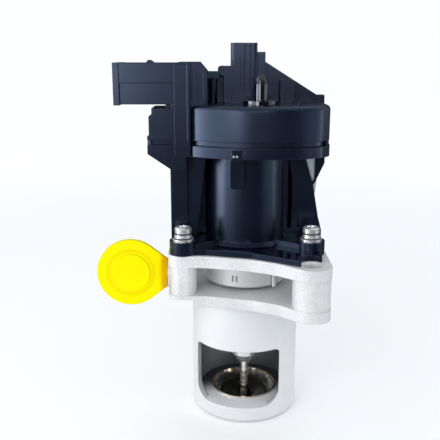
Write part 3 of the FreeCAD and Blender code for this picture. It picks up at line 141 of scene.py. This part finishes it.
# Strokes stamped on the spring cup
CUP_RADIUS = 0.0225
MARK_LIFT = 0.00003
MARK_TURNS = (-18.8, -13.6)
MARK_WIDTH = 0.0009
MARK_LOW = 0.0034
MARK_HIGH = 0.0068
MARK_COLUMNS = 5
MARK_ROWS = 4

# Nubs on the latch, painted light grey as glints
NUB_ACROSS = (-0.0074, -0.0059)
NUB_FACE = -0.0394
NUB_HEIGHT = 0.0794
NUB_RADIUS = 0.0006
NUB_SIDES = 16
NUB_RINGS = 5

# Bands of painted shade at the seams of the screws, as heights above the top and the foot of the spring
# washers
SCREW_SIDES = (("front_left", -1, -1), ("front_right", 1, -1), ("back_left", -1, 1), ("back_right", 1, 1))
HEAD_RADIUS = 0.0043
HEAD_SHADE_BAND = (0.0010, 0.0017)
WASHER_RADIUS = 0.0045
WASHER_SHADE_BAND = (0.0, 0.0005)
SEAM_LIFT = 0.00003
SEAM_SIDES = 48

# Skin behind the notch of the front right-hand rib, painted light grey as the rib's lit side, with corners as
# (across, height)
WEB_FRONT = -0.0084
WEB_BACK = -0.0078
WEB_CORNERS = ((0.0262, 0.0752), (0.0366, 0.0752), (0.0366, 0.0620), (0.0360, 0.0560), (0.0345, 0.0540))

# Snap catches at the two ends of the cover's seam, with corners as (across, depth)
CATCH_LOW = 0.0829
CATCH_HIGH = 0.0862
RIGHT_CATCH_CORNERS = ((0.0372, -0.0278), (0.0382, -0.0278), (0.0394, -0.0250), (0.0398, -0.0235),
                       (0.0400, -0.0200), (0.0372, -0.0200))
LEFT_CATCH_CORNERS = ((-0.0497, -0.0232), (-0.0478, -0.0236), (-0.0478, -0.0200), (-0.0497, -0.0200))


class NodeBench:
    """Short calls that add nodes to one node tree and give back their output sockets."""

    def __init__(self, tree):
        tree.nodes.clear()
        self.nodes = tree.nodes
        self.link = tree.links.new

    def feed(self, socket, value):
        """Give a socket a number, a colour or another node's output."""
        if isinstance(value, (int, float)):
            socket.default_value = value
        elif isinstance(value, tuple):
            socket.default_value = (*value, 1.0)
        else:
            self.link(value, socket)

    def axes(self, vector):
        """The X, Y and Z of a vector."""
        node = self.nodes.new("ShaderNodeSeparateXYZ")
        self.link(vector, node.inputs["Vector"])
        return tuple(node.outputs)

    def noise(self, vector, scale, detail, roughness=0.55):
        """Cloudy 0-1 pattern with about scale clouds to the metre."""
        node = self.nodes.new("ShaderNodeTexNoise")
        node.inputs["Scale"].default_value = scale
        node.inputs["Detail"].default_value = detail
        node.inputs["Roughness"].default_value = roughness
        self.link(vector, node.inputs["Vector"])
        return node.outputs["Fac"]

    def ramp(self, factor, low, high, start=0.3, end=0.7):
        """Blend between two colours as the factor runs from start to end."""
        node = self.nodes.new("ShaderNodeValToRGB")
        for stop, place, colour in zip(node.color_ramp.elements, (start, end), (low, high)):
            stop.position = place
            stop.color = (*colour, 1.0)
        self.link(factor, node.inputs["Fac"])
        return node.outputs["Color"]

    def span(self, factor, low, high):
        """Map a 0-1 factor to a range of numbers."""
        node = self.nodes.new("ShaderNodeMapRange")
        node.inputs["To Min"].default_value = low
        node.inputs["To Max"].default_value = high
        self.link(factor, node.inputs["Value"])
        return node.outputs["Result"]

    def ease(self, value, start, end):
        """Smooth 0-1 step of a value between start and end."""
        node = self.nodes.new("ShaderNodeMapRange")
        node.interpolation_type = "SMOOTHSTEP"
        node.inputs["From Min"].default_value = start
        node.inputs["From Max"].default_value = end
        self.link(value, node.inputs["Value"])
        return node.outputs["Result"]

    def math(self, operation, first, second=0.0):
        """One arithmetic step; each value is an output or a number."""
        node = self.nodes.new("ShaderNodeMath")
        node.operation = operation
        self.feed(node.inputs[0], first)
        self.feed(node.inputs[1], second)
        return node.outputs["Value"]

    def band(self, value, low, high):
        """One where a value lies between two limits, else zero."""
        above = self.math("GREATER_THAN", value, low)
        return self.math("MULTIPLY", above, self.math("LESS_THAN", value, high))

    def distance(self, across, along):
        """Length of a flat vector: the root of across squared plus along squared."""
        square = self.math("ADD", self.math("MULTIPLY", across, across), self.math("MULTIPLY", along, along))
        return self.math("SQRT", square)

    def blend(self, factor, first, second):
        """Mix two colours by a factor."""
        node = self.nodes.new("ShaderNodeMix")
        node.data_type = "RGBA"
        self.link(factor, node.inputs["Factor"])
        first_colour, second_colour = [socket for socket in node.inputs if socket.type == "RGBA"]
        self.feed(first_colour, first)
        self.feed(second_colour, second)
        return next(socket for socket in node.outputs if socket.type == "RGBA")

    def background(self, colour, strength):
        """Even light of the world."""
        node = self.nodes.new("ShaderNodeBackground")
        self.feed(node.inputs["Color"], colour)
        self.feed(node.inputs["Strength"], strength)
        return node.outputs["Background"]

    def ray(self, kind):
        """One for rays of a kind, such as those from the camera, else zero."""
        return self.nodes.new("ShaderNodeLightPath").outputs[kind]


class Finish(NodeBench):
    """A node material with its shader."""

    def __init__(self, name):
        self.material = bpy.data.materials.new(name)
        self.material.use_nodes = True
        super().__init__(self.material.node_tree)
        self.shader = self.nodes.new("ShaderNodeBsdfPrincipled")
        output = self.nodes.new("ShaderNodeOutputMaterial")
        self.link(self.shader.outputs["BSDF"], output.inputs["Surface"])

    def set(self, socket, value):
        """Set one of the shader's sockets."""
        self.feed(self.shader.inputs[socket], value)

    def place(self, stretch=(1, 1, 1)):
        """Object coordinates scaled per axis."""
        mapping = self.nodes.new("ShaderNodeMapping")
        mapping.inputs["Scale"].default_value = stretch
        self.link(self.nodes.new("ShaderNodeTexCoord").outputs["Object"], mapping.inputs["Vector"])
        return mapping.outputs["Vector"]

    def relief(self, height, depth, strength, edge=0.0):
        """Fine relief; an edge radius above zero also rounds the look of sharp edges."""
        node = self.nodes.new("ShaderNodeBump")
        if edge > 0:
            rounded = self.nodes.new("ShaderNodeBevel")
            rounded.samples = 4
            rounded.inputs["Radius"].default_value = edge
            self.link(rounded.outputs["Normal"], node.inputs["Normal"])
        node.inputs["Strength"].default_value = strength
        node.inputs["Distance"].default_value = depth
        self.link(height, node.inputs["Height"])
        self.link(node.outputs["Normal"], self.shader.inputs["Normal"])


def surface(name, low, high, rough, metallic=0.0, grain=900.0, depth=0.00001, stretch=(1, 1, 1), mottle=60.0,
            specular=0.5, strength=1.0, tint=WHITE, edge=0.0):
    """A finish whose colour mottles between two tones and whose fine grain lifts the surface."""
    finish = Finish(name)
    vector = finish.place(stretch)
    cloud = finish.noise(vector, mottle, 3.0)
    finish.set("Base Color", finish.ramp(cloud, low, high))
    finish.set("Roughness", finish.span(cloud, *rough))
    finish.set("Metallic", metallic)
    finish.set("Specular IOR Level", specular)
    finish.set("Specular Tint", tint)
    finish.relief(finish.noise(vector, grain, 5.0, 0.6), depth, strength, edge)
    return finish


def cast_aluminium():
    """Shot-blasted flange, smooth cage, a machine-finished bore and slot floor darkened by painted shade, and
    a ledge with painted window light at the front and shade at the back.
    """
    finish = Finish("cast_aluminium")
    vector = finish.place()
    across, depth, height = finish.axes(vector)
    radius = finish.distance(across, depth)
    cloud = finish.noise(vector, 45.0, 3.0)
    speckle = finish.noise(vector, 1500.0, 2.0, 0.7)
    turned_lines = finish.noise(finish.place((0.05, 0.05, 30)), 90.0, 3.0)

    mixed = finish.math("ADD", finish.math("MULTIPLY", cloud, 0.35), finish.math("MULTIPLY", speckle, 0.65))
    blasted = finish.ramp(mixed, (0.57, 0.575, 0.58), (0.79, 0.795, 0.80), 0.34, 0.66)
    smooth = finish.ramp(cloud, (0.70, 0.71, 0.72), (0.76, 0.765, 0.77))
    skin = finish.blend(finish.math("GREATER_THAN", height, FLANGE_LOW), smooth, blasted)
    # Painted shade: the slot's floor between the plates is darkened.
    skin = finish.blend(finish.band(height, *SLOT_FLOOR_SHADE), skin, (0.36, 0.365, 0.37))

    # Painted shade darkens the bore behind the window, and its left wall is painted lighter than its middle
    # as light falling on it; the turned lines are its own pattern.
    bore_painted_shade = finish.blend(finish.ease(across, WALL_LEFT, WALL_MIDDLE),
                            finish.ramp(turned_lines, (0.34, 0.35, 0.38), (0.48, 0.50, 0.53)),
                            finish.ramp(turned_lines, (0.14, 0.15, 0.165), (0.26, 0.27, 0.29)))
    bore = finish.math("MULTIPLY", finish.math("LESS_THAN", radius, BORE_RADIUS),
                       finish.band(height, BORE_LOW, BORE_TOP))
    # Painted light and shade: the ledge round the seat is near white at the front, lit through the window,
    # and near black at the back, in shade.
    rim = finish.blend(finish.ease(depth, LEDGE_FRONT, LEDGE_BACK), (0.90, 0.91, 0.94), (0.07, 0.075, 0.085))
    ledge = finish.math("MULTIPLY", finish.math("LESS_THAN", radius, LEDGE_RADIUS),
                        finish.band(height, LEDGE_LOW, BORE_LOW))
    finish.set("Base Color", finish.blend(ledge, finish.blend(bore, skin, bore_painted_shade), rim))

    fine = finish.noise(vector, 1600.0, 4.0, 0.65)
    finish.set("Roughness", finish.math("SUBTRACT", finish.span(fine, 0.42, 0.58),
                                        finish.math("MULTIPLY", bore, 0.18)))
    finish.set("Metallic", finish.math("ADD", 0.20, finish.math("MULTIPLY", bore, 0.3)))
    finish.set("Specular IOR Level", 0.3)
    finish.relief(fine, 0.00018, 0.9, EDGE_SOFT)
    return finish


def yellow_plastic():
    """Yellow moulding with a ring of painted shade on its disc, and orange painted shade at the neck's end by
    the port.
    """
    finish = Finish("yellow_plastic")
    vector = finish.place()
    cloud = finish.noise(vector, 40.0, 3.0)
    across, _, height = finish.axes(vector)
    low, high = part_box("port_plug")
    disc = (high[2] - low[2]) / 2
    radius = finish.distance(finish.math("SUBTRACT", across, low[0] + disc),
                             finish.math("SUBTRACT", height, low[2] + disc))
    # Painted shade: a darker ring on the disc stands for the shade in its groove.
    off_ring = finish.math("ABSOLUTE", finish.math("SUBTRACT", radius, disc * RING_SHARE))
    skin = finish.blend(finish.ease(off_ring, 0.0, RING_WIDTH), (0.86, 0.70, 0.0),
                        finish.ramp(cloud, (0.90, 0.80, 0.0), (0.95, 0.86, 0.0)))
    # Painted shade: the neck's end by the port turns orange.
    finish.set("Base Color", finish.blend(finish.ease(across, NECK_START, NECK_END), skin, (0.75, 0.38, 0.0)))
    finish.set("Roughness", finish.span(cloud, 0.40, 0.52))
    finish.set("Specular IOR Level", 0.15)
    finish.set("Specular Tint", (1.0, 0.9, 0.2))
    finish.relief(finish.noise(vector, 500.0, 5.0, 0.6), 0.00003, 0.4, EDGE_SOFT)
    return finish


def housing_plastic():
    """Black moulding with a blue sheen, whose deck's top face is smooth enough to mirror the barrel."""
    finish = surface("housing_plastic", (0.0006, 0.0014, 0.0060), (0.0016, 0.0030, 0.0110), (0.20, 0.28),
                     depth=0.00002, mottle=70.0, specular=0.60, strength=0.5, tint=BLUE_SHEEN, edge=EDGE_SOFT)
    usual = finish.shader.inputs["Roughness"].links[0].from_socket
    off_deck = finish.math("SUBTRACT", 1.0, finish.band(finish.axes(finish.place())[2], *DECK_FACE))
    finish.set("Roughness", finish.math("ADD", 0.05, finish.math("MULTIPLY", usual, off_deck)))
    return finish


def table_white():
    """White table that far reflections see as a dim one, as a table edge masked in a studio."""
    finish = Finish("table_white")
    vector = finish.place()
    length = finish.nodes.new("ShaderNodeVectorMath")
    length.operation = "LENGTH"
    finish.link(vector, length.inputs[0])
    away = length.outputs["Value"]
    white = finish.ramp(finish.noise(vector, 3.0, 3.0), (0.955, 0.960, 0.965), (0.970, 0.975, 0.980))
    reflected = finish.blend(finish.ease(away, TABLE_NEAR, TABLE_FAR), white, TABLE_REFLECTED)
    finish.set("Base Color", finish.blend(finish.ray("Is Glossy Ray"), white, reflected))
    glow = finish.math("MULTIPLY", HORIZON_GLOW, finish.ray("Is Camera Ray"))
    horizon = finish.ease(away, HORIZON_START, HORIZON_END)
    finish.set("Emission Strength", finish.math("MULTIPLY", horizon, glow))
    finish.set("Emission Color", (1.0, 0.97, 0.93))
    finish.set("Roughness", 0.6)
    finish.set("Specular IOR Level", 0.1)
    return finish


FINISHES = {
    "cast": cast_aluminium(),
    "housing": housing_plastic(),
    "cover": surface("cover_plastic", (0.0010, 0.0020, 0.0075), (0.0024, 0.0042, 0.0135), (0.25, 0.34),
                     depth=0.00002, mottle=70.0, specular=0.65, strength=0.5, tint=BLUE_SHEEN,
                     edge=EDGE_SOFT),
    "gloss": surface("gloss_black", (0.0015, 0.002, 0.004), (0.003, 0.004, 0.007), (0.08, 0.14),
                     grain=700.0, specular=0.7, strength=0.4, tint=GLASS_SHEEN),
    "yellow": yellow_plastic(),
    # Painted glints: the latch nubs are light grey on the black latch.
    "nub": surface("latch_nub_painted_glint", (0.30, 0.32, 0.36), (0.42, 0.44, 0.48), (0.12, 0.2)),
    # Painted light: the rib web is light grey as the rib's lit side.
    "web": surface("rib_web_painted_light", (0.34, 0.40, 0.46), (0.42, 0.48, 0.54), (0.3, 0.4)),
    "plated": surface("plated_steel", (0.68, 0.69, 0.70), (0.82, 0.83, 0.84), (0.20, 0.32),
                      metallic=0.75, grain=1200.0, depth=0.00002, mottle=300.0),
    "satin": surface("satin_steel", (0.74, 0.74, 0.73), (0.84, 0.84, 0.83), (0.22, 0.32),
                     metallic=0.75, grain=1200.0, depth=0.00002, stretch=(1, 1, 8), mottle=160.0),
    "polished": surface("polished_steel", (0.42, 0.39, 0.355), (0.58, 0.55, 0.51), (0.08, 0.15),
                        metallic=1.0, stretch=(1, 1, 12), mottle=120.0),
    "stem": surface("stem_steel", (0.70, 0.66, 0.61), (0.86, 0.83, 0.78), (0.08, 0.14),
                    metallic=0.86, stretch=(1, 1, 12), mottle=120.0),
    "seat": surface("seat_steel", (0.52, 0.47, 0.40), (0.72, 0.66, 0.56), (0.08, 0.16),
                    metallic=1.0, mottle=120.0),
    "dark_steel": surface("valve_steel", (0.16, 0.14, 0.12), (0.30, 0.27, 0.24), (0.12, 0.22),
                          metallic=1.0, stretch=(1, 1, 8), mottle=150.0),
    "turned": surface("turned_aluminium", (0.68, 0.68, 0.67), (0.78, 0.78, 0.77), (0.34, 0.46),
                      metallic=0.4, depth=0.00002, stretch=(0.05, 0.05, 8), mottle=120.0),
    # Painted shade for the seams of the screws.
    "groove": surface("groove_shadow", (0.010, 0.010, 0.011), (0.022, 0.022, 0.024), (0.4, 0.5),
                      metallic=0.2, depth=0.00002),
    "ink": surface("stamped_mark", (0.16, 0.16, 0.17), (0.24, 0.24, 0.25), (0.5, 0.6),
                   metallic=0.3, depth=0.00002),
    "magnet": surface("magnet", (0.03, 0.03, 0.034), (0.06, 0.06, 0.064), (0.45, 0.6),
                      metallic=0.3, depth=0.00002),
    "lamination": surface("lamination", (0.16, 0.16, 0.165), (0.26, 0.26, 0.265), (0.3, 0.45),
                          metallic=0.9, grain=1500.0, depth=0.00004, stretch=(0.1, 0.1, 6)),
    "copper": surface("copper_winding", (0.45, 0.16, 0.06), (0.62, 0.26, 0.10), (0.22, 0.34),
                      metallic=0.9, grain=2500.0, depth=0.0001, stretch=(0.2, 0.2, 1)),
    "bronze": surface("bronze", (0.40, 0.26, 0.10), (0.52, 0.36, 0.15), (0.3, 0.42),
                      metallic=0.9, grain=1300.0, depth=0.00003),
    "contact": surface("contact_metal", (0.62, 0.52, 0.30), (0.74, 0.64, 0.40), (0.2, 0.3),
                       metallic=1.0, grain=1300.0),
    "board": surface("board_laminate", (0.012, 0.10, 0.04), (0.02, 0.16, 0.065), (0.35, 0.5), depth=0.00003),
    "rubber": surface("seal_rubber", (0.012, 0.012, 0.012), (0.028, 0.028, 0.028), (0.55, 0.7),
                      depth=0.00004),
}

LOOK = {
    "cast": ("valve_body",),
    "seat": ("valve_seat",),
    "dark_steel": ("valve_head",),
    "stem": ("valve_stem",),
    "satin": ("stem_guide",),
    "turned": ("spring_cup",),
    "plated": ("return_spring", "spring_retainer", "retainer_clip", "locating_pin", "lead_screw",
               "end_bracket", "motor_case", "housing_screws", "flat_washers", "spring_washers",
               "compression_sleeves"),
    "polished": ("bearing_outer_race", "bearing_inner_race", "bearing_balls"),
    "bronze": ("screw_guide", "upper_bushing"),
    "magnet": ("rotor_magnet", "sensor_magnet"),
    "lamination": ("stator_core",),
    "copper": ("stator_coils",),
    "housing": ("motor_housing",),
    "cover": ("top_cover",),
    "gloss": ("rotor_hub", "test_plug"),
    "contact": ("connector_terminals",),
    "board": ("circuit_board",),
    "rubber": ("stem_seal", "cover_seal"),
    "yellow": ("port_plug",),
}


def dress_nodes():
    """Give every solid part its finish."""
    for finish, names in LOOK.items():
        for name in names:
            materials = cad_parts[name].data.materials
            materials.clear()
            materials.append(FINISHES[finish].material)


def new_object(name, mesh, finish):
    """Put a mesh in the scene at the origin, with its finish, and fix it to the housing's body."""
    mesh.materials.append(FINISHES[finish].material)
    piece = bpy.data.objects.new(name, mesh)
    bpy.context.collection.objects.link(piece)
    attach(piece, "base")
    return piece


def new_piece(name, points, faces, finish, smooth=True):
    """A piece from an array of points and the faces between them."""
    mesh = bpy.data.meshes.new(name)
    mesh.from_pydata(points.tolist(), [], faces)
    mesh.polygons.foreach_set("use_smooth", [smooth] * len(mesh.polygons))
    new_object(name, mesh, finish)


def grid_faces(rows, columns):
    """Quads of a point grid listed row by row."""
    return [(r * columns + c, r * columns + c + 1, (r + 1) * columns + c + 1, (r + 1) * columns + c)
            for r in range(rows - 1) for c in range(columns - 1)]


def ring_faces(rows, columns):
    """Quads of a point grid whose rows are closed rings."""
    return [(r * columns + c, r * columns + (c + 1) % columns, (r + 1) * columns + (c + 1) % columns,
             (r + 1) * columns + c) for r in range(rows - 1) for c in range(columns)]


def add_spring():
    """Stand a copy in for the return spring, with its doubled points merged, and hide the original."""
    wire = bmesh.new()
    wire.from_mesh(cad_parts["return_spring"].data)
    bmesh.ops.remove_doubles(wire, verts=wire.verts, dist=SAME_POINT)
    mesh = bpy.data.meshes.new("coil_spring")
    wire.to_mesh(mesh)
    wire.free()
    mesh.polygons.foreach_set("use_smooth", [True] * len(mesh.polygons))
    spring = new_object("coil_spring", mesh, "plated")
    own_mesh(spring)
    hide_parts("return_spring")


def add_cup_marks():
    """Two strokes stamped on the spring cup.

    Points (r sin a, -r cos a, z) for angles a about the front and heights z of each stroke.
    """
    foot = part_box("spring_cup")[0][2]
    radius = CUP_RADIUS + MARK_LIFT
    heights = np.linspace(foot + MARK_LOW, foot + MARK_HIGH, MARK_ROWS)
    for number, turn in enumerate(MARK_TURNS, start=1):
        angles = np.radians(turn) + np.linspace(-0.5, 0.5, MARK_COLUMNS) * MARK_WIDTH / radius
        angle, height = np.meshgrid(angles, heights)
        points = np.stack([radius * np.sin(angle), -radius * np.cos(angle), height], axis=-1).reshape(-1, 3)
        new_piece("cup_mark_%d" % number, points, grid_faces(MARK_ROWS, MARK_COLUMNS), "ink")


def add_latch_nubs():
    """Two moulded half-round nubs on the latch, painted light grey as glints.

    Dome points (x + r cos u sin v, y - r cos v, z + r sin u sin v) for turns u and tilts v up to a right
    angle, with a tip at v = 0 and a flat foot.
    """
    turns = np.linspace(2 * np.pi, 0, NUB_SIDES, endpoint=False)
    turn, tilt = np.meshgrid(turns, np.linspace(0, np.pi / 2, NUB_RINGS + 1)[1:])
    tip = NUB_SIDES * NUB_RINGS
    faces = ring_faces(NUB_RINGS, NUB_SIDES)
    faces += [(tip, (c + 1) % NUB_SIDES, c) for c in range(NUB_SIDES)]
    faces += [tuple(range(tip - NUB_SIDES, tip))]
    for number, across in enumerate(NUB_ACROSS, start=1):
        rings = np.stack([across + NUB_RADIUS * np.cos(turn) * np.sin(tilt),
                          NUB_FACE - NUB_RADIUS * np.cos(tilt),
                          NUB_HEIGHT + NUB_RADIUS * np.sin(turn) * np.sin(tilt)], axis=-1).reshape(-1, 3)
        points = np.vstack([rings, (across, NUB_FACE - NUB_RADIUS, NUB_HEIGHT)])
        new_piece("latch_nub_%d" % number, points, faces, "nub")


def add_screw_seam_shades():
    """Bands of painted shade round each screw, in the seams under its head's flange and under its spring
    washer.

    Bands (x + r cos a, y + r sin a, z) about the screw's axis.
    """
    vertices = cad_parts["housing_screws"].data.vertices
    spots = np.empty(3 * len(vertices))
    vertices.foreach_get("co", spots)
    spots = spots.reshape(-1, 3)
    foot, top = (corner[2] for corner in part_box("spring_washers"))
    bands = (("head", HEAD_RADIUS, top, HEAD_SHADE_BAND), ("washer", WASHER_RADIUS, foot, WASHER_SHADE_BAND))
    angles = np.linspace(0, 2 * np.pi, SEAM_SIDES, endpoint=False)
    for side, hand, way in SCREW_SIDES:
        own = spots[(spots[:, 0] * hand > 0) & (spots[:, 1] * way > 0)]
        across, along, _ = (own.min(axis=0) + own.max(axis=0)) / 2
        for label, head, base, heights in bands:
            radius = head + SEAM_LIFT
            angle, height = np.meshgrid(angles, base + np.array(heights))
            points = np.stack([across + radius * np.cos(angle), along + radius * np.sin(angle), height],
                              axis=-1).reshape(-1, 3)
            new_piece("screw_%s_seam_%s" % (label, side), points, ring_faces(2, SEAM_SIDES), "groove")


def add_plate(name, first, second, finish):
    """A flat plate between two equal outlines, each a closed loop of points."""
    count = len(first)
    faces = [tuple(range(count))[::-1], tuple(range(count, 2 * count))]
    faces += [(i, (i + 1) % count, count + (i + 1) % count, count + i) for i in range(count)]
    new_piece(name, np.array(first + second), faces, finish, smooth=False)


def add_rib_web():
    """Thin skin closing the notch of the front right-hand rib, painted light grey as the rib's lit side: its
    outline at two depths.
    """
    front = [(across, WEB_FRONT, height) for across, height in WEB_CORNERS]
    back = [(across, WEB_BACK, height) for across, height in WEB_CORNERS]
    add_plate("rib_web", front, back, "web")


def add_rim_catches():
    """Snap catches in the seam of cover and housing: their outlines at two heights."""
    for name, corners in (("rim_catch", RIGHT_CATCH_CORNERS), ("rim_catch_left", LEFT_CATCH_CORNERS)):
        lower = [(*corner, CATCH_LOW) for corner in corners]
        upper = [(*corner, CATCH_HIGH) for corner in corners]
        add_plate(name, lower, upper, "cover")


def make_table():
    """Level square under the part, reaching far behind it."""
    mesh = bpy.data.meshes.new("table_top")
    corners = [(-TABLE_REACH, -TABLE_REACH, TABLE_Z), (TABLE_REACH, -TABLE_REACH, TABLE_Z),
               (TABLE_REACH, 3 * TABLE_REACH, TABLE_Z), (-TABLE_REACH, 3 * TABLE_REACH, TABLE_Z)]
    mesh.from_pydata(corners, [], [(0, 1, 2, 3)])
    mesh.materials.append(table_white().material)
    table = bpy.data.objects.new("table_top", mesh)
    bpy.context.collection.objects.link(table)


def make_lamp(name, place, target, width, height, watts, colour, diffuse):
    """Rectangular soft lamp; one that isn't diffuse only shows as a highlight."""
    light = bpy.data.lights.new(name, "AREA")
    light.shape = "RECTANGLE"
    light.size = width
    light.size_y = height
    light.energy = watts
    light.color = colour
    lamp = bpy.data.objects.new(name, light)
    bpy.context.collection.objects.link(lamp)
    lamp.visible_diffuse = diffuse
    lamp.location = place
    lamp.rotation_euler = (Vector(target) - Vector(place)).to_track_quat("-Z", "Y").to_euler()


def make_world():
    """Even light on the part, a white backdrop for the camera, and the room that gloss sees."""
    world = bpy.data.worlds.new("studio")
    bpy.context.scene.world = world
    world.use_nodes = True
    bench = NodeBench(world.node_tree)
    direction = bench.axes(bench.nodes.new("ShaderNodeTexCoord").outputs["Generated"])
    room = ROOM_DARK
    for axis, start, end, strength in ROOM_SIDES:
        side = bench.math("MULTIPLY", bench.ease(direction[axis], start, end), strength)
        room = bench.math("ADD", room, side)
    shown = bench.background(SHADE_COLOUR, SHADE_STRENGTH)
    for kind, seen in (("Is Glossy Ray", bench.background(ROOM_COLOUR, room)),
                       ("Is Camera Ray", bench.background(BACKDROP_COLOUR, 1.0))):
        mix = bench.nodes.new("ShaderNodeMixShader")
        bench.link(bench.ray(kind), mix.inputs["Fac"])
        bench.link(shown, mix.inputs[1])
        bench.link(seen, mix.inputs[2])
        shown = mix.outputs["Shader"]
    bench.link(shown, bench.nodes.new("ShaderNodeOutputWorld").inputs["Surface"])


def make_camera():
    """Camera at the photograph's angle; its lens is given in pixels of the photograph's frame."""
    lens = bpy.data.cameras.new("camera")
    lens.sensor_width = SENSOR_MM
    lens.lens = SENSOR_MM * LENS_PIXELS / IMAGE_PIXELS
    lens.clip_start = NEAREST_SEEN
    camera = bpy.data.objects.new("camera", lens)
    bpy.context.collection.objects.link(camera)
    camera.location = CAMERA_PLACE
    camera.rotation_euler = (math.radians(90.0 - CAMERA_PITCH), 0, 0)
    bpy.context.scene.camera = camera


dress_nodes()
add_spring()
add_cup_marks()
add_latch_nubs()
add_screw_seam_shades()
add_rib_web()
add_rim_catches()
make_table()
make_world()
make_camera()
for settings in LAMPS:
    make_lamp(*settings)
bpy.context.scene.view_settings.view_transform = "Standard"
